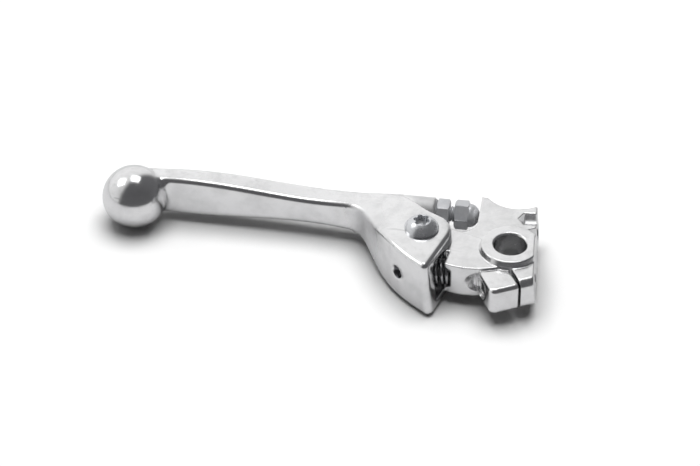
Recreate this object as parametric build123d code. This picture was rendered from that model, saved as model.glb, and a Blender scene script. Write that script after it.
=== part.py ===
from build123d import *
import os
from math import atan2, cos, degrees, radians, sin, sqrt, tan

# Hinged front brake lever for a small off-road motorcycle, lying flat as it leaves the box.
# The origin is on the axis of the main pivot bore at half its height. +Z runs up that bore.
# The blade runs along -X to its ball end, and the handlebar is on the +Y side.

# Ball end and grip
BALL_R = 10.0
BALL_X = -120.6
GRIP_NEAR = ((BALL_X, 1.6), (-82.0, 5.6), (-54.0, 7.4))
GRIP_FAR = ((BALL_X, 7.6), (-82.0, 13.6), (-46.0, 15.2))
GRIP_HEIGHTS = ((BALL_X - 1.4, 6.4), (-104.0, 6.7), (-85.0, 5.7), (-66.0, 4.6), (-54.0, 5.1), (-44.0, 6.6))
GRIP_EDGE_R = 1.5
NECK_R = 2.5

# Clevis at the fold pivot
FOLD_X = -27.2
FOLD_Y = -2.4
CLEVIS_H = 18.6
CLEVIS_FLAT_X = -32.5
EAR_R = 8.9
EAR_FAR_ANGLE = -22.0
EAR_SIDE_ANGLE = -10.0
EAR_SIDE_DRAFT = 2.3
WALL_CURVE = ((-45.8, 2.4), (-40.0, -5.6), (-31.0, -14.6))
WALL_END = (-17.0, -23.4)
WALL_HEADING = (1.0, -0.62)
WALL_CORNER_R = 1.6
WALL_T = 4.8
DRAIN_R = 2.0

# Arm that turns on the main pivot and pushes the piston
ARM_H = 10.6
HORN_H = 9.8
BORE_R = 5.0
BORE_CHAMFER = 0.5
BOSS_H = 14.0
BOSS_TOP_R = 8.8
BOSS_BASE_R = 9.6
END_ANGLE = 10.6
END_DISTANCE = 8.0
END_LEAN = 5.5
EYE_R = 7.4
EYE_CLEARANCE = 1.2
EYE_LOW_ANGLE = -48.0
SPRING_FACE_X = -17.5
SPRING_FACE_Y = (-12.4, -6.2)
ARM_NEAR = ((-9.5, -12.6), (-0.5, -9.0))
ARM_FAR = ((-9.7, 2.3), (-17.0, 3.9))
HORN_TOP = 22.6
HORN_TIP_W = 1.8
HORN_ROOT = ((-13.6, 6.3), (-17.2, 3.8))
HORN_ROOT_UP = 9.6
HORN_DIP = (-4.4, 19.4)
LUG_TOP = (3.0, 22.2)
LUG_UP = 21.0
SEAT_UP = 15.1
SEAT_R = 2.9
SEAT_DEPTH = 4.4
SEAT_CONE = 118.0
NOTCH = ((5.0, 10.2), (7.6, 11.2))

# Stop screw block on the arm, slit so that its thread grips
STOP_ANGLE = 35.0
STOP_AXIS = 9.0
STOP_FRONT = 16.8
STOP_START = -12.9
STOP_LOW_H = 9.2
STOP_LOW_R = 1.5
STOP_CORNER_R = 2.2
STOP_HIGH_R = 2.8
STOP_HOLE_R = 2.5
STOP_MOUTH_R = 3.3
STOP_MOUTH_L = 0.8
STOP_CLEAR_R = 4.9
SLIT_AT = -3.6
SLIT_W = 0.9
SLIT_FROM = 9.0

# Fold pivot screw, sleeve and thrust washers
SCREW_R = 3.0
SCREW_HEAD_R = 5.25
SCREW_HEAD_H = 3.1
SCREW_RIM_H = 0.6
SCREW_END_Z = -8.7
SCREW_CHAMFER = 0.5
SCREW_FLAT_R = 2.75
SCREW_SHOULDER = (0.83, 0.52)
LOBE_CIRCLE_R = 1.9
LOBE_R = 0.75
LOBE_CORE_R = 2.0
LOBE_DEPTH = 1.9
SLEEVE_R = 4.5
WASHER_R = 7.0
WASHER_T = 0.4
THREAD_GAP = 0.04
RUN_GAP = 0.05
WASHER_GAP = 0.05
SEAT_GAP = 0.02

# Return spring, from its pocket floor in the blade to its seat in the arm
SPRING_ANGLE = 14.5
SPRING_FLOOR = (-26.25, -12.2)
SPRING_L = 10.3
SPRING_R = 3.9
SPRING_WIRE_R = 0.55
SPRING_TURNS = 5.5
WIRE_SIDES = 8
SPRING_GAP = 0.2

# Reach adjuster
ADJ_MOUTH = (-27.2, 17.5)
ADJ_ANGLE = 7.0
ADJ_BOSS_R = 4.6
ADJ_BOSS_L = 12.0
ADJ_RIM = 0.9
ADJ_RUNOUT = (-58.0, 11.2)
ADJ_RUNOUT_R = 3.4
ADJ_HOLE_L = 14.0
STUD_R = 2.5
STUD_IN_L = 11.0
HEX_AF = 8.0
LOCK_NUT_L = 4.0
HEX_CHAMFER = 30.0
LOCK_NUT_TURN = -18.0
CAP_TURN = 17.0
EXPOSED_L = 1.6
CAP_HEX_L = 4.4
CAP_DOME_R = 3.8
CAP_DOME_L = 3.4
CAP_BORE_L = 5.0
CAP_GAP = 0.25

# Places that several pieces share
CLEVIS_HALF = CLEVIS_H / 2
ARM_HALF = ARM_H / 2
SLOT_HALF = ARM_HALF + WASHER_T + 2 * WASHER_GAP
SLOT_H = 2 * SLOT_HALF
CAP_AT = LOCK_NUT_L + EXPOSED_L
ADJ_REACH = CAP_AT + CAP_HEX_L + CAP_DOME_L + CAP_GAP
END_REACH = END_DISTANCE + BOSS_H / 2
BEYOND = -BALL_X / 2
STANDING = (Align.CENTER, Align.CENTER, Align.MIN)


def turned(distance, angle):
    """Point at this distance from the origin, in this direction, in degrees."""
    return Vector(distance * cos(radians(angle)), distance * sin(radians(angle)))


def on_axis(start, angle):
    """Location at a point of the mid plane whose Z runs along a level axis."""
    return Plane(origin=Vector(*start), x_dir=(0, 0, 1), z_dir=turned(1, angle)).location


def rod(start, angle, radius, low, high):
    """Round bar about a level axis, from low to high along it."""
    return on_axis(start, angle) * Pos(0, 0, (low + high) / 2) * Cylinder(radius, high - low)


def upright(x, y, radius, low, high):
    """Round bar that stands at x, y."""
    return Pos(x, y, (low + high) / 2) * Cylinder(radius, high - low)


def slab(face, height):
    """Flat outline made solid, half its height each side of the mid plane."""
    return extrude(Pos(0, 0, -height / 2) * face, height)


FOLD = Vector(FOLD_X, FOLD_Y)
EAR_TOP_POINT = FOLD + turned(EAR_R - 0.1, 90 + EAR_FAR_ANGLE)


def blade_plan():
    """Outline of blade and clevis seen from above, wide enough for the lower ear."""
    near = ThreePointArc(*GRIP_NEAR)
    flare = Spline([near @ 1, *WALL_CURVE, WALL_END], tangents=[near % 1, WALL_HEADING])
    far = ThreePointArc(*GRIP_FAR)
    shoulder_end = EAR_TOP_POINT + turned(-2, EAR_FAR_ANGLE)
    corner = Polyline(
        WALL_END, (0, WALL_END[1]), (0, 0), EAR_TOP_POINT + turned(2 * EAR_R, EAR_FAR_ANGLE), shoulder_end
    )
    shoulder = Spline([shoulder_end, far @ 1], tangents=[turned(-1, EAR_FAR_ANGLE), -(far % 1)])
    left = Line(GRIP_FAR[0], GRIP_NEAR[0])
    return make_face([near, flare, corner, shoulder, far, left])


def blade_profile():
    """Outline of the blade seen edge on: flat over the clevis, waisted along the grip."""
    heights = [*GRIP_HEIGHTS, (CLEVIS_FLAT_X, CLEVIS_HALF)]
    depths = [(x, -z) for x, z in heights]
    top = Spline(heights, tangents=[(1, 0), (1, 0)])
    bottom = Spline(depths, tangents=[(1, 0), (1, 0)])
    right = Polyline(heights[-1], (0, CLEVIS_HALF), (0, -CLEVIS_HALF), depths[-1])
    left = Line(depths[0], heights[0])
    return Plane.XZ * make_face([top, right, bottom, left])


def clevis_reach():
    """Leaning prism that ends both ears: round about the fold pivot, straight along the side."""
    arc = CenterArc(FOLD, EAR_R, EAR_SIDE_ANGLE, 60 - EAR_SIDE_ANGLE)
    side_low = (arc @ 0) + turned(4 * EAR_R, EAR_SIDE_ANGLE - 90)
    tangent_end = (arc @ 1) + (arc % 1) * 2 * EAR_R
    left = BALL_X - 2 * BALL_R
    outside = [(FOLD_X, BEYOND), (left, BEYOND), (left, side_low.Y)]
    edge = [Polyline(arc @ 1, tangent_end, *outside, side_low, arc @ 0), arc]
    lean = Vector(EAR_SIDE_DRAFT, 0, -CLEVIS_H)
    return extrude(Pos(0, 0, CLEVIS_HALF) * make_face(edge), lean.length, dir=lean.normalized())


def blade_core():
    """Blade and clevis as one rounded block, before ball, slot and boss."""
    side_view = extrude(Pos(0, BEYOND, 0) * blade_profile(), 2 * BEYOND)
    core = slab(blade_plan(), CLEVIS_H) & side_view & clevis_reach()
    standing = [e for e in core.edges() if abs((e % 0.5).Z) > 0.8]
    core = fillet([e for e in standing if (e @ 0.5).Y < SPRING_FACE_Y[0]], WALL_CORNER_R)
    rim = [e for e in core.edges() if abs((e % 0.5).Z) < 0.8 and (e @ 0.5).X > BALL_X + BALL_R / 2]
    return fillet(rim, GRIP_EDGE_R)


def blade_with_ball():
    """Blade with the ball on its end and a small round where the two meet."""
    body = blade_core() + Pos(BALL_X, 0, 0) * Sphere(BALL_R)
    centre = Vector(BALL_X, 0, 0)
    neck = [
        e
        for e in body.edges()
        if all(abs((e @ t - centre).length - BALL_R) < 0.01 for t in (0, 0.5, 1)) and e.length < 2 * BALL_R
    ]
    return fillet(neck, NECK_R)


def adjuster_boss():
    """Round boss for the adjuster, running out along the far side of the blade."""
    mouth = Vector(*ADJ_MOUTH)
    root = mouth + turned(-ADJ_BOSS_L, ADJ_ANGLE)
    end = Vector(*ADJ_RUNOUT)
    run = root - end
    taper = Cone(ADJ_RUNOUT_R, ADJ_BOSS_R, run.length, align=STANDING)
    runout = on_axis(end, degrees(atan2(run.Y, run.X))) * taper
    knuckle = Pos(root.X, root.Y, 0) * Sphere(ADJ_BOSS_R)
    barrel = rod(mouth, ADJ_ANGLE, ADJ_BOSS_R, -ADJ_BOSS_L, 0)
    rim = barrel.edges().filter_by(GeomType.CIRCLE).sort_by_distance(mouth)[0]
    return chamfer(rim, ADJ_RIM) + knuckle + runout


def clevis_slot():
    """Gap between the ears for the arm's eye, open to the right and to the far side."""
    heading = Vector(*WALL_HEADING).normalized()
    inner_end = Vector(*WALL_END) + Vector(-heading.Y, heading.X) * WALL_T
    inner_start = inner_end - heading * 1.6 * EYE_R
    round_end = FOLD + turned(EYE_R + EYE_CLEARANCE, 90 + EAR_FAR_ANGLE)
    beyond = round_end + turned(2 * EYE_R, 90 + EAR_FAR_ANGLE)
    outline = Polyline(
        inner_end, inner_start, FOLD, round_end, beyond, (0, beyond.Y), (0, inner_end.Y), close=True
    )
    about_eye = upright(FOLD.X, FOLD.Y, EYE_R + EYE_CLEARANCE, -SLOT_HALF, SLOT_HALF)
    return about_eye + slab(make_face(outline), SLOT_H)


def lever_blade():
    """Forged blade: ball, grip, clevis ears, front wall with the spring's pocket, adjuster boss."""
    blade = blade_with_ball() + adjuster_boss()
    blade -= clevis_slot()
    blade -= rod(SPRING_FLOOR, SPRING_ANGLE, SPRING_R + SPRING_GAP, 0, 2 * SPRING_L)
    blade -= rod(SPRING_FLOOR, SPRING_ANGLE, DRAIN_R, -SPRING_L, 0)
    blade -= rod(ADJ_MOUTH, ADJ_ANGLE, STUD_R + THREAD_GAP, -ADJ_HOLE_L, 1)
    blade -= upright(FOLD.X, FOLD.Y, SCREW_R + THREAD_GAP, -CLEVIS_H, CLEVIS_H)
    return blade


def beam_plan():
    """Outline of the arm's thick part, from the eye to the main boss."""
    low, high = SPRING_FACE_Y
    near = ThreePointArc((SPRING_FACE_X, low), *ARM_NEAR)
    eye_top = (FOLD_X, FOLD_Y + EYE_R)
    heading = Vector(*ARM_FAR[1]) - Vector(*ARM_FAR[0])
    far = Spline([*ARM_FAR, eye_top], tangents=[heading, (-1, 0)])
    eye_low = FOLD + turned(EYE_R, EYE_LOW_ANGLE)
    rest = Polyline(eye_top, FOLD, eye_low, (SPRING_FACE_X, high), near @ 0)
    return make_face([near, Polyline(near @ 1, (0, 0), ARM_FAR[0]), far, rest])


def horn_plan():
    """Outline of the arm's thinner part: horn, piston lug and flat end."""
    face = Vector(*ADJ_MOUTH) + turned(ADJ_REACH, ADJ_ANGLE)
    up = turned(1, ADJ_ANGLE + 90)
    top = face + up * ((HORN_TOP - face.Y) / up.Y)
    low = face + up * ((HORN_ROOT_UP - face.Y) / up.Y)
    tip = top + Vector(HORN_TIP_W, 0)
    dip = ThreePointArc(tip, HORN_DIP, LUG_TOP)
    across = turned(1, END_ANGLE)
    along = turned(1, END_ANGLE + 90)
    corner = across * END_REACH + along * LUG_UP
    end = across * END_REACH - along * BOSS_BASE_R
    rest = Polyline(LUG_TOP, corner, end, (0, end.Y), (0, 0), HORN_ROOT[1])
    root = ThreePointArc(HORN_ROOT[1], HORN_ROOT[0], low)
    return make_face([dip, rest, root, Polyline(low, top, tip)])


def main_boss():
    """Round boss about the main pivot, with a slight taper above and below the arm."""
    rise = (BOSS_H - ARM_H) / 2
    cap = Cone(BOSS_BASE_R, BOSS_TOP_R, rise, align=STANDING)
    top = Pos(0, 0, ARM_HALF) * cap
    return upright(0, 0, BOSS_BASE_R, -ARM_HALF, ARM_HALF) + top + mirror(top, Plane.XY)


def bore_mouth(side):
    """Countersink at one end of the main pivot bore: side is 1 above and -1 below."""
    wide = BORE_R + BORE_CHAMFER
    cone = Cone(wide, wide - 2 * BORE_CHAMFER, 2 * BORE_CHAMFER, align=STANDING)
    return Pos(0, 0, side * BOSS_H / 2) * Rot(90 + 90 * side, 0, 0) * cone


def piston_seat():
    """Cup for the piston's push rod: a drilled hole with a pointed floor, open towards the top."""
    start = END_DISTANCE - SEAT_DEPTH
    point = SEAT_R / tan(radians(SEAT_CONE / 2))
    place = Rot(0, 0, END_ANGLE)
    axis = turned(SEAT_UP, END_ANGLE + 90)
    end = 2 * END_DISTANCE
    sides = [(start, SEAT_R), (end, SEAT_R), (end, -SEAT_R), (start, -SEAT_R)]
    plan = Polyline((start - point, 0), *sides, close=True)
    cone = Cone(0, SEAT_R, point, align=STANDING)
    tip = on_axis(axis + turned(start - point, END_ANGLE), END_ANGLE) * cone
    slot = Pos(axis.X, axis.Y, 0) * place * extrude(make_face(plan), ARM_H)
    return tip + rod(axis, END_ANGLE, SEAT_R, start, end) + slot


def lug_notch():
    """Relief between the piston lug and the main boss, open at the arm's end."""
    (tip_across, tip_up), (mouth_down, mouth_up) = NOTCH
    mouth = [(END_DISTANCE, mouth_up), (2 * END_DISTANCE, mouth_up), (2 * END_DISTANCE, mouth_down)]
    outline = Polyline((tip_across, tip_up), *mouth, (END_DISTANCE, mouth_down), close=True)
    return slab(Rot(0, 0, END_ANGLE) * make_face(outline), ARM_H)


def stop_point(along, out):
    """Point given along the stop screw's axis and out from the main pivot, square to it."""
    return turned(along, STOP_ANGLE) + turned(out, STOP_ANGLE - 90)


def reach(edge):
    """How far out from the main pivot an edge of the stop block lies."""
    return (edge @ 0.5).dot(turned(1, STOP_ANGLE - 90))


def stop_half(start, end, height, radius, corner, corner_r):
    """One side of the slit block: its outer corner rounded, then its front edges."""
    inner = [stop_point(start, 0), stop_point(end, 0)]
    outer = [stop_point(end, STOP_FRONT), stop_point(start, STOP_FRONT)]
    block = slab(make_face(Polyline(*inner, *outer, close=True)), height)
    post = block.edges().filter_by(Axis.Z).sort_by_distance(stop_point(corner, STOP_FRONT))[0]
    block = fillet(post, corner_r)
    middle = stop_point((start + end) / 2, STOP_FRONT)
    level = [e for e in block.edges() if abs((e % 0.5).Z) < 0.1]
    front = [e for e in level if abs((e @ 0.5 - middle).Z) > 0.1 and reach(e) > STOP_FRONT - corner_r]
    return fillet(front, radius)


def pivot_arm():
    """Forged arm: eye on the fold pivot, main boss, horn, piston lug and stop screw block."""
    eye = upright(FOLD.X, FOLD.Y, EYE_R, -ARM_HALF, ARM_HALF)
    arm = eye + slab(beam_plan(), ARM_H) + slab(horn_plan(), HORN_H) + main_boss()
    arm += stop_half(STOP_START, SLIT_AT, STOP_LOW_H, STOP_LOW_R, STOP_START, STOP_CORNER_R)
    arm += stop_half(SLIT_AT, 2 * END_DISTANCE, ARM_H, STOP_HIGH_R, 2 * END_DISTANCE, STOP_LOW_R)
    slit = Polyline(
        stop_point(SLIT_AT - SLIT_W / 2, SLIT_FROM),
        stop_point(SLIT_AT + SLIT_W / 2, SLIT_FROM),
        stop_point(SLIT_AT + SLIT_W / 2, 2 * STOP_FRONT),
        stop_point(SLIT_AT - SLIT_W / 2, 2 * STOP_FRONT),
        close=True,
    )
    arm -= slab(make_face(slit), BOSS_H)
    beyond = Pos(2 * EYE_R, 0, 0) * Box(4 * EYE_R, 20 * EYE_R, 4 * BOSS_H)
    arm -= Rot(0, 0, END_ANGLE) * Pos(END_DISTANCE, 0, 0) * Rot(0, -END_LEAN, 0) * beyond
    stop_axis = stop_point(0, STOP_AXIS)
    arm -= rod(stop_axis, STOP_ANGLE, STOP_HOLE_R, -BEYOND, BEYOND)
    arm -= rod(stop_axis, STOP_ANGLE, STOP_MOUTH_R, STOP_START, STOP_START + STOP_MOUTH_L)
    arm -= rod(stop_axis, STOP_ANGLE, STOP_CLEAR_R, -BEYOND, STOP_START)
    arm -= piston_seat()
    arm -= lug_notch()
    arm -= rod(SPRING_FLOOR, SPRING_ANGLE, SPRING_R + 2 * SPRING_GAP, -SPRING_L, SPRING_L)
    arm -= upright(0, 0, BORE_R, -BOSS_H, BOSS_H) + bore_mouth(1) + bore_mouth(-1)
    arm -= upright(FOLD.X, FOLD.Y, SLEEVE_R + RUN_GAP, -BOSS_H, BOSS_H)
    return arm


def fold_screw():
    """Button head screw with a six-lobed socket, threaded into the lower ear."""
    base = CLEVIS_HALF + SEAT_GAP
    dome_h = SCREW_HEAD_H - SCREW_RIM_H
    rim = (SCREW_HEAD_R, SCREW_RIM_H)
    shoulder = (SCREW_SHOULDER[0] * SCREW_HEAD_R, SCREW_RIM_H + SCREW_SHOULDER[1] * dome_h)
    flat = (SCREW_FLAT_R, SCREW_HEAD_H)
    core = Polyline(flat, (0, SCREW_HEAD_H), (0, 0), (SCREW_HEAD_R, 0), rim)
    section = make_face([core, ThreePointArc(rim, shoulder, flat)])
    head = revolve(Plane.XZ * section, Axis.Z)
    socket = Circle(LOBE_CORE_R)
    for turn in range(6):
        socket += Rot(0, 0, 60 * turn) * Pos(LOBE_CIRCLE_R, 0) * Circle(LOBE_R)
    head -= Pos(0, 0, SCREW_HEAD_H - LOBE_DEPTH) * extrude(socket, LOBE_DEPTH + 1)
    length = base - SCREW_END_Z
    shank = Pos(0, 0, -length) * Cylinder(SCREW_R, length, align=STANDING)
    shank = chamfer(shank.edges().sort_by(Axis.Z)[0], SCREW_CHAMFER)
    return Pos(FOLD.X, FOLD.Y, base) * (head + shank)


def fold_sleeve():
    """Hardened sleeve clamped between the ears, on which the arm's eye turns."""
    half = SLOT_HALF - SEAT_GAP
    tube = upright(FOLD.X, FOLD.Y, SLEEVE_R, -half, half)
    return tube - upright(FOLD.X, FOLD.Y, SCREW_R + THREAD_GAP, -half, half)


def thrust_washer(side):
    """Thin washer between the arm's eye and one ear: side is 1 above and -1 below."""
    middle = side * (ARM_HALF + SLOT_HALF) / 2
    ring = upright(FOLD.X, FOLD.Y, WASHER_R, middle - WASHER_T / 2, middle + WASHER_T / 2)
    return ring - upright(FOLD.X, FOLD.Y, SLEEVE_R + RUN_GAP, -BOSS_H, BOSS_H)


def return_spring():
    """Closed coil spring that holds the adjuster's cap against the horn."""
    length = SPRING_L - 2 * SEAT_GAP
    coil_r = SPRING_R - SPRING_WIRE_R
    pitch = (length - 2 * SPRING_WIRE_R) / SPRING_TURNS
    path = Helix(pitch, pitch * SPRING_TURNS, coil_r)
    section = RegularPolygon(SPRING_WIRE_R, WIRE_SIDES)
    wire = sweep(Plane(path @ 0, z_dir=path % 0) * section, path, is_frenet=True)
    return on_axis(SPRING_FLOOR, SPRING_ANGLE) * Pos(0, 0, SPRING_WIRE_R + SEAT_GAP) * wire


def hexagon(low, high, turn):
    """Six-sided bar on the adjuster's axis, its corners turned down at both ends."""
    outline = RegularPolygon(HEX_AF / 2, 6, major_radius=False, rotation=turn)
    bar = Pos(0, 0, low) * extrude(outline, high - low)
    corner_r = HEX_AF / sqrt(3)
    drop = (corner_r - HEX_AF / 2) * tan(radians(HEX_CHAMFER))
    side = [(HEX_AF / 2, low), (corner_r, low + drop), (corner_r, high - drop), (HEX_AF / 2, high)]
    turned_down = make_face(Polyline((0, low), *side, (0, high), close=True))
    return bar & revolve(Plane.XZ * turned_down, Axis.Z)


def lock_nut():
    """Plain hexagon nut tightened against the adjuster boss."""
    nut = hexagon(SEAT_GAP, LOCK_NUT_L, LOCK_NUT_TURN) - Cylinder(STUD_R + THREAD_GAP, 4 * LOCK_NUT_L)
    return on_axis(ADJ_MOUTH, ADJ_ANGLE) * nut


def adjuster_stud():
    """Threaded stud that carries the cap nut and screws into the blade."""
    end = CAP_AT + CAP_BORE_L - SEAT_GAP
    stud = Pos(0, 0, -STUD_IN_L) * Cylinder(STUD_R, STUD_IN_L + end, align=STANDING)
    return on_axis(ADJ_MOUTH, ADJ_ANGLE) * chamfer(stud.edges().filter_by(GeomType.CIRCLE), SCREW_CHAMFER)


def adjuster_cap():
    """Domed nut on the stud's end, which bears on the arm's horn."""
    hex_end = CAP_AT + CAP_HEX_L
    ball_r = (CAP_DOME_R**2 + CAP_DOME_L**2) / (2 * CAP_DOME_L)
    neck = Pos(0, 0, CAP_AT) * Cylinder(CAP_DOME_R, CAP_HEX_L + CAP_DOME_L, align=STANDING)
    dome = neck & Pos(0, 0, hex_end + CAP_DOME_L - ball_r) * Sphere(ball_r)
    bore = Pos(0, 0, CAP_AT) * Cylinder(STUD_R + THREAD_GAP, 2 * CAP_BORE_L)
    return on_axis(ADJ_MOUTH, ADJ_ANGLE) * (hexagon(CAP_AT, hex_end, CAP_TURN) + dome - bore)


os.makedirs("parts", exist_ok=True)
pieces = {
    "lever_blade": lever_blade(),
    "pivot_arm": pivot_arm(),
    "fold_screw": fold_screw(),
    "fold_sleeve": fold_sleeve(),
    "thrust_washer_upper": thrust_washer(1),
    "thrust_washer_lower": thrust_washer(-1),
    "return_spring": return_spring(),
    "lock_nut": lock_nut(),
    "adjuster_stud": adjuster_stud(),
    "adjuster_cap": adjuster_cap(),
}
for name, solid in pieces.items():
    export_step(solid, f"parts/{name}.step")
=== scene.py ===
from math import cos, pi, radians, sin

import bpy
from mathutils import Matrix, Vector


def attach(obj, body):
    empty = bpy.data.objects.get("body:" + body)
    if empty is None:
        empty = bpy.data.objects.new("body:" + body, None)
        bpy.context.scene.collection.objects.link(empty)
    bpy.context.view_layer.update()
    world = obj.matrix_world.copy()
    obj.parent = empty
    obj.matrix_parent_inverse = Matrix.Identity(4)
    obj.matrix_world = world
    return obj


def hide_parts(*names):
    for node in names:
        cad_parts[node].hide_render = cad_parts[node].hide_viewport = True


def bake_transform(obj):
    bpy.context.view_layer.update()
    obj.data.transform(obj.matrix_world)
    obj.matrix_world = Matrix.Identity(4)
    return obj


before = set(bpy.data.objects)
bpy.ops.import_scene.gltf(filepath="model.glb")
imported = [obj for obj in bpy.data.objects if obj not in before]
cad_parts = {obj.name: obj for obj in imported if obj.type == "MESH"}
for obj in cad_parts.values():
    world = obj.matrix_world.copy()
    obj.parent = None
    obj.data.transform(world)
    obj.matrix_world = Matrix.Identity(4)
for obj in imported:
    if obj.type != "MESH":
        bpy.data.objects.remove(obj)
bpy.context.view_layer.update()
scene = bpy.context.scene
scene.view_settings.view_transform = "Standard"


# The photographer's place: a long lens 39 degrees above the table, turned a little round
# from the lever's own length, so that the main pivot bore lies right of the middle.
LOOK_DOWN = 39
LOOK_ROUND = 15.44
camera_data = bpy.data.cameras.new("table_camera")
camera_data.sensor_fit = "HORIZONTAL"
camera_data.sensor_width = 36
camera_data.lens = 151.756
camera_data.clip_start = 0.05
camera = bpy.data.objects.new("table_camera", camera_data)
camera.location = (0.13782, -0.68182, 0.57321)
camera.rotation_euler = (radians(90 - LOOK_DOWN), 0, radians(LOOK_ROUND))
scene.collection.objects.link(camera)
scene.camera = camera


# The table: one sheet of matt white card that lies flat under the lever, which stands on its
# ball and on the lower ear of its clevis. The lens sees it white and polished metal a bit
# greyer, and a painted shadow darkens its colour softly where the lever stands close over it.
CARD_SIDE = 6
CARD_TOP = -0.01003
CARD_WHITE = (0.97, 0.97, 0.97, 1)
CARD_IN_METAL = (0.69, 0.69, 0.695, 1)
SHADE_REACH = 0.018
SHADE_DARKEST = 0.46


def add_node(tree, kind, given=None, operation=None, data_type=None):
    """New node of a material, a group or the world. Each input that is given something gets
    that value, or is linked to that output of another node."""
    node = tree.nodes.new(kind)
    if operation:
        node.operation = operation
    if data_type:
        node.data_type = data_type
    for socket, value in (given or {}).items():
        if isinstance(value, bpy.types.NodeSocket):
            tree.links.new(value, node.inputs[socket])
        else:
            node.inputs[socket].default_value = value
    return node


bpy.ops.object.select_all(action="DESELECT")
bpy.ops.mesh.primitive_plane_add(size=CARD_SIDE, location=(0, 0, CARD_TOP))
table = bpy.context.object
table.name = "white_card"
bpy.ops.object.transform_apply(location=True, rotation=True, scale=True)
card = bpy.data.materials.new("white_card")
card.use_nodes = True
card_tree = card.node_tree
card_shader = card_tree.nodes["Principled BSDF"]
card_shader.inputs["Roughness"].default_value = 0.9
card_shader.inputs["Specular IOR Level"].default_value = 0.1
card_ray = add_node(card_tree, "ShaderNodeLightPath")
card_tone = add_node(
    card_tree,
    "ShaderNodeMix",
    {"Factor": card_ray.outputs["Is Camera Ray"], "A": CARD_IN_METAL, "B": CARD_WHITE},
    data_type="RGBA",
)
# Painted shadow: ambient occlusion darkens the card's colour near the lever, down to
# SHADE_DARKEST of it.
card_shade = add_node(card_tree, "ShaderNodeAmbientOcclusion", {"Distance": SHADE_REACH})
card_shade.samples = 8
card_painted_shadow = add_node(
    card_tree,
    "ShaderNodeMath",
    {0: card_shade.outputs["AO"], 1: 1 - SHADE_DARKEST, 2: SHADE_DARKEST},
    operation="MULTIPLY_ADD",
)
card_dim = add_node(
    card_tree,
    "ShaderNodeVectorMath",
    {0: card_tone.outputs["Result"], "Scale": card_painted_shadow.outputs["Value"]},
    operation="SCALE",
)
card_tree.links.new(card_dim.outputs["Vector"], card_shader.inputs["Base Color"])
table.data.materials.append(card)


# The room round the table: pale walls behind it and to its left, and the unlit part of the
# room with the photographer in front and to the right. Polished metal shows both, the table
# is lit by them only a little, and the lens sees plain white past the card.
WALLS_BEARING = radians(152)
WALL_TONES = (
    (0.04, (0.125, 0.125, 0.13, 1)),
    (0.14, (0.3, 0.3, 0.3, 1)),
    (0.26, (0.72, 0.72, 0.72, 1)),
    (0.6, (0.92, 0.92, 0.92, 1)),
)
LIGHT_ON_TABLE = 0.04
room = bpy.data.worlds.new("photo_room")
room.use_nodes = True
scene.world = room
room_tree = room.node_tree
room_tree.nodes.clear()
ray = add_node(room_tree, "ShaderNodeLightPath")
direction = add_node(room_tree, "ShaderNodeTexCoord").outputs["Generated"]
towards_walls = add_node(
    room_tree,
    "ShaderNodeVectorMath",
    {0: direction, 1: (cos(WALLS_BEARING), sin(WALLS_BEARING), 0)},
    operation="DOT_PRODUCT",
)
walls = add_node(room_tree, "ShaderNodeValToRGB", {"Fac": towards_walls.outputs["Value"]})
wall_steps = walls.color_ramp.elements
wall_steps.remove(wall_steps[1])
wall_steps[0].position, wall_steps[0].color = WALL_TONES[0]
for place, tone in WALL_TONES[1:]:
    wall_steps.new(place).color = tone
way_parts = add_node(room_tree, "ShaderNodeSeparateXYZ", {"Vector": direction})
back_wall = add_node(
    room_tree,
    "ShaderNodeMapRange",
    {
        "Value": way_parts.outputs["Y"],
        "From Min": -0.2,
        "From Max": 0.8,
        "To Min": 0.85,
        "To Max": 1.12,
    },
)
on_table = add_node(
    room_tree,
    "ShaderNodeMapRange",
    {"Value": ray.outputs["Is Diffuse Ray"], "To Min": 1, "To Max": LIGHT_ON_TABLE},
)
strength = add_node(
    room_tree,
    "ShaderNodeMath",
    {0: back_wall.outputs["Result"], 1: on_table.outputs["Result"]},
    operation="MULTIPLY",
)
lit = add_node(
    room_tree,
    "ShaderNodeBackground",
    {"Color": walls.outputs["Color"], "Strength": strength.outputs["Value"]},
)
seen = add_node(room_tree, "ShaderNodeBackground", {"Color": (1, 1, 1, 1)})
which = add_node(
    room_tree,
    "ShaderNodeMixShader",
    {
        "Fac": ray.outputs["Is Camera Ray"],
        1: lit.outputs["Background"],
        2: seen.outputs["Background"],
    },
)
add_node(room_tree, "ShaderNodeOutputWorld", {"Surface": which.outputs["Shader"]})


# The lamps: a wide cloth ceiling lights the table from straight above, and two small soft
# boxes, one nearly overhead and one at the ball's end, only show as spots on the metal.
LEVER_MIDDLE = Vector((-0.06, 0, 0))


def soft_box(name, bearing, height, size, watts, lights_table):
    """Square lamp a metre from the lever, at a bearing and a height in degrees."""
    lamp = bpy.data.lights.new(name, "AREA")
    lamp.size = size
    lamp.energy = watts
    holder = bpy.data.objects.new(name, lamp)
    level = cos(radians(height))
    way = Vector(
        (level * cos(radians(bearing)), level * sin(radians(bearing)), sin(radians(height)))
    )
    holder.location = LEVER_MIDDLE + way
    holder.rotation_euler = way.to_track_quat("Z", "Y").to_euler()
    holder.visible_diffuse = lights_table
    holder.visible_glossy = not lights_table
    scene.collection.objects.link(holder)


soft_box("cloth_ceiling", bearing=100, height=85, size=0.9, watts=13.6, lights_table=True)
soft_box("top_box", bearing=98, height=73, size=0.42, watts=1.6, lights_table=False)
soft_box("end_box", bearing=178, height=48, size=0.4, watts=1.0, lights_table=False)


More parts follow.
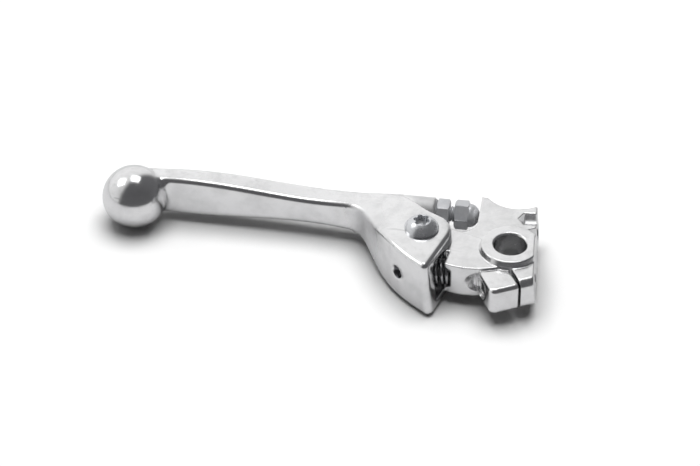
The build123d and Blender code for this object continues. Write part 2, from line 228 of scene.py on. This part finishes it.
# The blade: aluminium forged with its ball, clevis and adjuster boss, tumbled and then buffed.
# The buff leaves soft waves and fine lines along the grip and doesn't reach every hollow, and
# handling leaves duller spots.
def handled_metal_group():
    """Node group: roughness, dull spots and normal of a buffed and handled surface."""
    group = bpy.data.node_groups.new("handled_metal", "ShaderNodeTree")
    values = (
        ("Wave size", 60.0),
        ("Wave depth", 0.1),
        ("Line size", 900.0),
        ("Line depth", 0.05),
        ("Smoothest", 0.12),
        ("Roughest", 0.3),
    )
    for name, value in values:
        socket = group.interface.new_socket(name, in_out="INPUT", socket_type="NodeSocketFloat")
        socket.default_value = value
    results = (("Roughness", "Float"), ("Dull spots", "Float"), ("Normal", "Vector"))
    for name, kind in results:
        group.interface.new_socket(name, in_out="OUTPUT", socket_type="NodeSocket" + kind)
    given = add_node(group, "NodeGroupInput").outputs
    place = add_node(group, "ShaderNodeTexCoord").outputs["Object"]
    waves = add_node(
        group,
        "ShaderNodeTexNoise",
        {"Vector": place, "Scale": given["Wave size"], "Detail": 1.5},
    )
    along = add_node(group, "ShaderNodeMapping", {"Vector": place, "Scale": (0.07, 1, 1)})
    lines = add_node(
        group,
        "ShaderNodeTexNoise",
        {"Vector": along.outputs["Vector"], "Scale": given["Line size"], "Detail": 3},
    )
    across = add_node(
        group,
        "ShaderNodeMapping",
        {"Vector": place, "Rotation": (0.2, 0.3, 0.9), "Scale": (0.05, 1, 1)},
    )
    scuffs = add_node(
        group,
        "ShaderNodeTexNoise",
        {"Vector": across.outputs["Vector"], "Scale": 700, "Detail": 2},
    )
    scuff_mask = add_node(
        group,
        "ShaderNodeMapRange",
        {"Value": scuffs.outputs["Fac"], "From Min": 0.66, "From Max": 0.74},
    )
    smudges = add_node(
        group,
        "ShaderNodeTexNoise",
        {"Vector": place, "Scale": 130, "Detail": 5, "Roughness": 0.65},
    )
    smudge_mask = add_node(
        group,
        "ShaderNodeMapRange",
        {"Value": smudges.outputs["Fac"], "From Min": 0.42, "From Max": 0.68},
    )
    marks = add_node(
        group,
        "ShaderNodeMath",
        {0: scuff_mask.outputs["Result"], 1: smudge_mask.outputs["Result"]},
        operation="MAXIMUM",
    )
    dull = add_node(
        group,
        "ShaderNodeMath",
        {0: lines.outputs["Fac"], 1: 0.55, 2: marks.outputs["Value"]},
        operation="MULTIPLY_ADD",
    )
    spread = add_node(
        group,
        "ShaderNodeMapRange",
        {
            "Value": dull.outputs["Value"],
            "From Min": 0.15,
            "From Max": 1.3,
            "To Min": given["Smoothest"],
            "To Max": given["Roughest"],
        },
    )
    wave_bump = add_node(
        group,
        "ShaderNodeBump",
        {"Height": waves.outputs["Fac"], "Distance": 0.001, "Strength": given["Wave depth"]},
    )
    line_bump = add_node(
        group,
        "ShaderNodeBump",
        {
            "Height": lines.outputs["Fac"],
            "Distance": 0.0002,
            "Strength": given["Line depth"],
            "Normal": wave_bump.outputs["Normal"],
        },
    )
    add_node(
        group,
        "NodeGroupOutput",
        {
            "Roughness": spread.outputs["Result"],
            "Dull spots": marks.outputs["Value"],
            "Normal": line_bump.outputs["Normal"],
        },
    )
    return group


handled_metal = handled_metal_group()


def metal(name, bright, dull, smoothest, roughest, wave_depth, line_depth, metallic=1):
    """Bare metal with the handled finish: its bright colour and that of its dull spots."""
    material = bpy.data.materials.new(name)
    material.use_nodes = True
    tree = material.node_tree
    finish = add_node(tree, "ShaderNodeGroup")
    finish.node_tree = handled_metal
    finish.inputs["Smoothest"].default_value = smoothest
    finish.inputs["Roughest"].default_value = roughest
    finish.inputs["Wave depth"].default_value = wave_depth
    finish.inputs["Line depth"].default_value = line_depth
    colour = add_node(
        tree,
        "ShaderNodeMix",
        {"Factor": finish.outputs["Dull spots"], "A": (*bright, 1), "B": (*dull, 1)},
        data_type="RGBA",
    )
    shader = tree.nodes["Principled BSDF"]
    shader.inputs["Metallic"].default_value = metallic
    tree.links.new(colour.outputs["Result"], shader.inputs["Base Color"])
    tree.links.new(finish.outputs["Roughness"], shader.inputs["Roughness"])
    tree.links.new(finish.outputs["Normal"], shader.inputs["Normal"])
    return material


def finish_node(name, material):
    """Gives a CAD node this finish all over."""
    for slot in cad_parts[name].material_slots:
        slot.material = material


def round_edges(material, radius, share):
    """Lets the light see the sharp edges as rounds of this radius, by this share."""
    tree = material.node_tree
    normal = tree.nodes["Principled BSDF"].inputs["Normal"]
    buffed = normal.links[0].from_socket
    rounded = add_node(tree, "ShaderNodeBevel", {"Radius": radius})
    rounded.samples = 8
    blend = add_node(
        tree,
        "ShaderNodeMix",
        {"Factor": share, "A": buffed, "B": rounded.outputs["Normal"]},
        data_type="VECTOR",
    )
    tree.links.new(blend.outputs["Result"], normal)


def mark_places(material, socket, places, value, core):
    """Gives round places, each a centre and a radius, their own value of a socket, fading
    from the full value within this share of the radius to none at its rim."""
    tree = material.node_tree
    point = add_node(tree, "ShaderNodeTexCoord").outputs["Object"]
    target = tree.nodes["Principled BSDF"].inputs[socket]
    for centre, radius in places:
        reach = add_node(
            tree, "ShaderNodeVectorMath", {0: point, 1: centre}, operation="DISTANCE"
        )
        fade = add_node(
            tree,
            "ShaderNodeMapRange",
            {"Value": reach.outputs["Value"], "From Min": radius, "From Max": core * radius},
        )
        fade.interpolation_type = "SMOOTHSTEP"
        mix = add_node(
            tree,
            "ShaderNodeMix",
            {"Factor": fade.outputs["Result"], "A": target.links[0].from_socket, "B": value},
            data_type="RGBA" if socket == "Base Color" else "FLOAT",
        )
        tree.links.new(mix.outputs["Result"], target)


ALUMINIUM = (0.82, 0.82, 0.825)
HANDLED_ALUMINIUM = (0.7, 0.7, 0.705)
HOLLOW_BY_CLEVIS = ((-0.047, 0.0012, 0.001), 0.012)
HOLLOW_BY_BOSS = ((-0.0305, 0.0165, 0.003), 0.0105)
UNBUFFED_ROUGHNESS = 0.62
# Painted shade: spots along the drain hole's bore, coloured near black so the hole looks darker
# and larger.
DRAIN_HOLE = (
    ((-0.0319, -0.01366, 0), 0.0023),
    ((-0.0302, -0.01322, 0), 0.0022),
    ((-0.0284, -0.01276, 0), 0.0022),
)
DRAIN_PAINTED_SHADE = (0.12, 0.12, 0.13, 1)
blade_metal = metal(
    "blade_aluminium",
    bright=ALUMINIUM,
    dull=HANDLED_ALUMINIUM,
    smoothest=0.13,
    roughest=0.26,
    wave_depth=0.1,
    line_depth=0.05,
)
round_edges(blade_metal, radius=0.002, share=0.7)
mark_places(
    blade_metal,
    "Roughness",
    (HOLLOW_BY_CLEVIS, HOLLOW_BY_BOSS),
    UNBUFFED_ROUGHNESS,
    core=0.25,
)
# Painted shade in the drain hole's mouth and bore, standing in for the shadow inside it.
mark_places(blade_metal, "Base Color", DRAIN_HOLE, DRAIN_PAINTED_SHADE, core=0.92)
finish_node("lever_blade", blade_metal)


# The pivot arm: a second forging of the same metal. Its faces are milled flat, the main bore
# and the stop screw's hole are drilled through it, and it is buffed like the blade.
arm_metal = metal(
    "arm_aluminium",
    bright=ALUMINIUM,
    dull=HANDLED_ALUMINIUM,
    smoothest=0.15,
    roughest=0.28,
    wave_depth=0.06,
    line_depth=0.05,
)
round_edges(arm_metal, radius=0.0009, share=0.8)
finish_node("pivot_arm", arm_metal)


# The fold pivot: a button head screw with a six-lobed socket, zinc plated and bright. Between
# the ears it clamps a ground sleeve, and thin steel washers lie above and below the arm's eye.
screw_zinc = metal(
    "screw_zinc",
    bright=(0.68, 0.69, 0.71),
    dull=(0.48, 0.49, 0.51),
    smoothest=0.2,
    roughest=0.38,
    wave_depth=0.04,
    line_depth=0.03,
    metallic=0.86,
)
sleeve_steel = metal(
    "sleeve_steel",
    bright=(0.6, 0.61, 0.63),
    dull=(0.5, 0.5, 0.52),
    smoothest=0.2,
    roughest=0.3,
    wave_depth=0.02,
    line_depth=0.04,
)
washer_steel = metal(
    "washer_steel",
    bright=(0.58, 0.59, 0.61),
    dull=(0.46, 0.46, 0.48),
    smoothest=0.3,
    roughest=0.42,
    wave_depth=0.02,
    line_depth=0.04,
)
finish_node("fold_screw", screw_zinc)
finish_node("fold_sleeve", sleeve_steel)
finish_node("thrust_washer_upper", washer_steel)
finish_node("thrust_washer_lower", washer_steel)


# The return spring: dark drawn steel wire wound into six turns, the last one at each end laid
# close. It sits in its pocket in the blade and pushes on the arm.
SPRING_SEAT = Vector((-0.02625, -0.0122, 0))
SPRING_WAY = radians(14.5)
WIRE_R = 0.00055
COIL_R = 0.0039 - WIRE_R
FIRST_WIRE = 0.00002 + WIRE_R
LAST_WIRE = 0.01028 - WIRE_R
CLOSED_STEP = 2 * WIRE_R + 0.00004
OPEN_TURNS = 4
POINTS_A_TURN = 12


def take_up(piece):
    """Selects this piece alone, for the operators that follow."""
    bpy.ops.object.select_all(action="DESELECT")
    bpy.context.view_layer.objects.active = piece
    piece.select_set(True)


def lay_along(piece, start, way):
    """Lays a piece made up the Z axis along this way from its start, and fixes it there."""
    take_up(piece)
    turned = way.to_track_quat("Z", "Y").to_matrix().to_4x4()
    piece.matrix_world = Matrix.Translation(start) @ turned
    bpy.ops.object.transform_apply(location=True, rotation=True, scale=True)


open_step = (LAST_WIRE - FIRST_WIRE - 2 * CLOSED_STEP) / OPEN_TURNS
wire_points = []
for step in range((OPEN_TURNS + 2) * POINTS_A_TURN + 1):
    turn = step / POINTS_A_TURN
    closed = CLOSED_STEP * min(turn, 1)
    opened = open_step * min(max(turn - 1, 0), OPEN_TURNS)
    closed_again = CLOSED_STEP * max(turn - 1 - OPEN_TURNS, 0)
    height = FIRST_WIRE + (closed + opened + closed_again)
    wire_points.append((COIL_R * cos(2 * pi * turn), COIL_R * sin(2 * pi * turn), height))
wire_curve = bpy.data.curves.new("return_spring_coil", "CURVE")
wire_curve.dimensions = "3D"
wire_curve.bevel_depth = WIRE_R
wire_curve.bevel_resolution = 4
wire_curve.use_fill_caps = True
wire_line = wire_curve.splines.new("NURBS")
wire_line.points.add(len(wire_points) - 1)
for point, place in zip(wire_line.points, wire_points):
    point.co = (*place, 1)
wire_line.order_u = 3
wire_line.use_endpoint_u = True
wire_line.resolution_u = 3
spring = bpy.data.objects.new("return_spring_coil", wire_curve)
scene.collection.objects.link(spring)
take_up(spring)
bpy.ops.object.convert(target="MESH")
spring = bpy.context.object
along_spring = Vector((cos(SPRING_WAY), sin(SPRING_WAY), 0))
lay_along(spring, SPRING_SEAT, along_spring)
bpy.ops.object.shade_smooth_by_angle(angle=radians(40))
spring_wire = metal(
    "spring_wire",
    bright=(0.45, 0.45, 0.46),
    dull=(0.2, 0.2, 0.21),
    smoothest=0.16,
    roughest=0.34,
    wave_depth=0.02,
    line_depth=0.05,
)
spring.data.materials.clear()
spring.data.materials.append(spring_wire)
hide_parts("return_spring")
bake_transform(spring)


# The reach adjuster's stud: a steel rod with a rolled M5 thread over its whole length. It
# screws into the blade's boss, and two turns of it show between the lock nut and the cap nut.
STUD_SEAT = Vector((-0.0272, 0.0175, 0))
STUD_WAY = radians(7)
STUD_FROM = -0.011
STUD_TO = 0.01058
THREAD_CREST = 0.00248
THREAD_ROOT = 0.00204
THREAD_STEP = 0.0008
CREST_FROM = 0.00034
CREST_TO = 0.00046
THREAD_TURNS = 31
WELD = 0.000001
bpy.ops.object.select_all(action="DESELECT")
bpy.ops.mesh.primitive_plane_add(size=THREAD_STEP)
stud = bpy.context.object
stud.name = "adjuster_stud_thread"
low_left, low_right, high_left, high_right = stud.data.vertices
tooth = (
    (high_left, THREAD_ROOT, 0),
    (low_left, THREAD_CREST, CREST_FROM),
    (low_right, THREAD_CREST, CREST_TO),
    (high_right, THREAD_ROOT, THREAD_STEP),
)
for corner, out, up in tooth:
    corner.co = (out, 0, STUD_FROM - 2 * THREAD_STEP + up)
bpy.ops.object.mode_set(mode="EDIT")
bpy.ops.mesh.select_mode(type="EDGE")
bpy.ops.mesh.select_all(action="DESELECT")
bpy.ops.object.mode_set(mode="OBJECT")
for edge in stud.data.edges:
    edge.select = set(edge.vertices) == {high_left.index, high_right.index}
bpy.ops.object.mode_set(mode="EDIT")
bpy.ops.mesh.delete(type="EDGE")
bpy.ops.object.mode_set(mode="OBJECT")
winding = stud.modifiers.new("winding", "SCREW")
winding.screw_offset = THREAD_STEP
winding.iterations = THREAD_TURNS
winding.steps = 32
winding.render_steps = 32
winding.use_merge_vertices = True
winding.merge_threshold = WELD
winding.use_smooth_shade = False
bpy.ops.object.modifier_apply(modifier="winding")
bpy.ops.object.mode_set(mode="EDIT")
bpy.ops.mesh.select_all(action="SELECT")
bpy.ops.mesh.remove_doubles(threshold=WELD)
for height, below in ((STUD_FROM, True), (STUD_TO, False)):
    bpy.ops.mesh.select_all(action="SELECT")
    bpy.ops.mesh.bisect(
        plane_co=(0, 0, height),
        plane_no=(0, 0, 1),
        use_fill=True,
        clear_inner=below,
        clear_outer=not below,
    )
bpy.ops.mesh.select_all(action="SELECT")
bpy.ops.mesh.normals_make_consistent(inside=False)
bpy.ops.object.mode_set(mode="OBJECT")
along_stud = Vector((cos(STUD_WAY), sin(STUD_WAY), 0))
lay_along(stud, STUD_SEAT, along_stud)
bpy.ops.object.shade_smooth_by_angle(angle=radians(25))
nut_zinc = metal(
    "nut_zinc",
    bright=(0.52, 0.525, 0.54),
    dull=(0.4, 0.41, 0.43),
    smoothest=0.26,
    roughest=0.44,
    wave_depth=0.05,
    line_depth=0.06,
    metallic=0.5,
)
stud.data.materials.append(nut_zinc)
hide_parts("adjuster_stud")
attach(stud, "adjuster")


# The adjuster's lock nut: a plain zinc plated hexagon, its corners turned down at both ends,
# its thread countersunk and its sharp edges broken. It stands against the blade's boss with
# one flat nearly level.
NUT_ACROSS = 0.008
NUT_CORNER_R = 0.00475
NUT_FACE_R = 0.0039
THREAD_HOLE = 0.00254
SINK_DEPTH = 0.0003
SINK_PAST = 0.0001
SINK_WIDTH = SINK_DEPTH + SINK_PAST
CUTTER_PAST = 0.001
BROKEN_EDGE = 0.00012
LOCK_LOW = 0.00002
LOCK_HIGH = 0.004


def hexagon_bar(name, low, high, turned):
    """Six-sided bar up the Z axis from low to high, a flat turned this far from the X axis."""
    bpy.ops.object.select_all(action="DESELECT")
    bpy.ops.mesh.primitive_cylinder_add(
        vertices=6,
        radius=NUT_ACROSS / 3 ** 0.5,
        depth=high - low,
        location=(0, 0, (low + high) / 2),
        rotation=(0, 0, turned),
    )
    bar = bpy.context.object
    bar.name = name
    bpy.ops.object.transform_apply(location=True, rotation=True, scale=True)
    return bar


def turned_corners(low, high, low_down, high_down):
    """Outline that turns a hexagon's corners down by these heights at its two ends."""
    return [
        (0, low),
        (NUT_FACE_R, low),
        (NUT_CORNER_R, low + low_down),
        (NUT_CORNER_R, high - high_down),
        (NUT_FACE_R, high),
        (0, high),
    ]


def turned_cutter(name, outline):
    """Solid turned from an outline of radius and height, to cut a piece or join to it."""
    mesh = bpy.data.meshes.new(name)
    points = [(r, 0, z) for r, z in outline]
    mesh.from_pydata(points, [(i, i + 1) for i in range(len(points) - 1)], [])
    cutter = bpy.data.objects.new(name, mesh)
    scene.collection.objects.link(cutter)
    take_up(cutter)
    lathe = cutter.modifiers.new("lathe", "SCREW")
    lathe.steps = 96
    lathe.render_steps = 96
    lathe.use_merge_vertices = True
    lathe.merge_threshold = WELD
    bpy.ops.object.modifier_apply(modifier="lathe")
    bpy.ops.object.mode_set(mode="EDIT")
    bpy.ops.mesh.select_all(action="SELECT")
    bpy.ops.mesh.remove_doubles(threshold=WELD)
    bpy.ops.mesh.normals_make_consistent(inside=False)
    bpy.ops.object.mode_set(mode="OBJECT")
    return cutter


def cut(piece, cutter, operation):
    """Trims the piece by the cutter, or joins the two, and takes the cutter away."""
    take_up(piece)
    trim = piece.modifiers.new("trim", "BOOLEAN")
    trim.operation = operation
    trim.solver = "EXACT"
    trim.object = cutter
    bpy.ops.object.modifier_apply(modifier="trim")
    bpy.data.objects.remove(cutter)


def break_edges(piece):
    """Breaks a nut's sharp edges by a small round, and shades it smooth between them. Where
    small faces leave it no room, the round is a hair wide and only softens the shading."""
    take_up(piece)
    edge = piece.modifiers.new("broken_edges", "BEVEL")
    edge.width = BROKEN_EDGE
    edge.segments = 3
    edge.limit_method = "ANGLE"
    edge.angle_limit = radians(22)
    bpy.ops.object.modifier_apply(modifier="broken_edges")
    bpy.ops.object.shade_smooth_by_angle(angle=radians(30))


lock_nut = hexagon_bar("lock_nut_turned", LOCK_LOW, LOCK_HIGH, radians(-25))
outside = turned_corners(LOCK_LOW, LOCK_HIGH, low_down=0.0005, high_down=0.0005)
cut(lock_nut, turned_cutter("lock_outside", outside), "INTERSECT")
hole = [
    (0, LOCK_LOW - CUTTER_PAST),
    (THREAD_HOLE, LOCK_LOW - CUTTER_PAST),
    (THREAD_HOLE, LOCK_HIGH - SINK_DEPTH),
    (THREAD_HOLE + SINK_WIDTH, LOCK_HIGH + SINK_PAST),
    (THREAD_HOLE + SINK_WIDTH, LOCK_HIGH + CUTTER_PAST),
    (0, LOCK_HIGH + CUTTER_PAST),
]
cut(lock_nut, turned_cutter("lock_hole", hole), "DIFFERENCE")
break_edges(lock_nut)
lay_along(lock_nut, STUD_SEAT, along_stud)
lock_nut.data.materials.append(nut_zinc)
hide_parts("lock_nut")
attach(lock_nut, "blade")


# The domed cap nut on the stud's end, of the same zinc plated steel: a longer hexagon with its
# corners turned down, and a ball-shaped end that bears on the arm's horn.
CAP_LOW = 0.0056
CAP_HEX_HIGH = CAP_LOW + 0.0044
DOME_LOW = CAP_HEX_HIGH + 0.0001
DOME_R = 0.0037
DOME_HEIGHT = 0.0033
DOME_ROOT = CAP_HEX_HIGH - 0.001
BORE_DEPTH = 0.005
BORE_POINT = 0.0058
cap_nut = hexagon_bar("adjuster_cap_turned", CAP_LOW, CAP_HEX_HIGH, radians(17))
outside = turned_corners(CAP_LOW, CAP_HEX_HIGH, low_down=0.0006, high_down=0.0004)
cut(cap_nut, turned_cutter("cap_outside", outside), "INTERSECT")
dome = [(0, DOME_ROOT), (DOME_R, DOME_ROOT), (DOME_R, DOME_LOW)]
for angle in range(6, 90, 6):
    rise = radians(angle)
    dome.append((DOME_R * cos(rise), DOME_LOW + DOME_HEIGHT * sin(rise)))
dome.append((0, DOME_LOW + DOME_HEIGHT))
cut(cap_nut, turned_cutter("cap_dome", dome), "UNION")
bore = [
    (0, CAP_LOW - CUTTER_PAST),
    (THREAD_HOLE, CAP_LOW - CUTTER_PAST),
    (THREAD_HOLE, CAP_LOW + BORE_DEPTH),
    (0, CAP_LOW + BORE_POINT),
]
cut(cap_nut, turned_cutter("cap_bore", bore), "DIFFERENCE")
break_edges(cap_nut)
lay_along(cap_nut, STUD_SEAT, along_stud)
cap_nut.data.materials.append(nut_zinc)
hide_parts("adjuster_cap")
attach(cap_nut, "adjuster_cap")
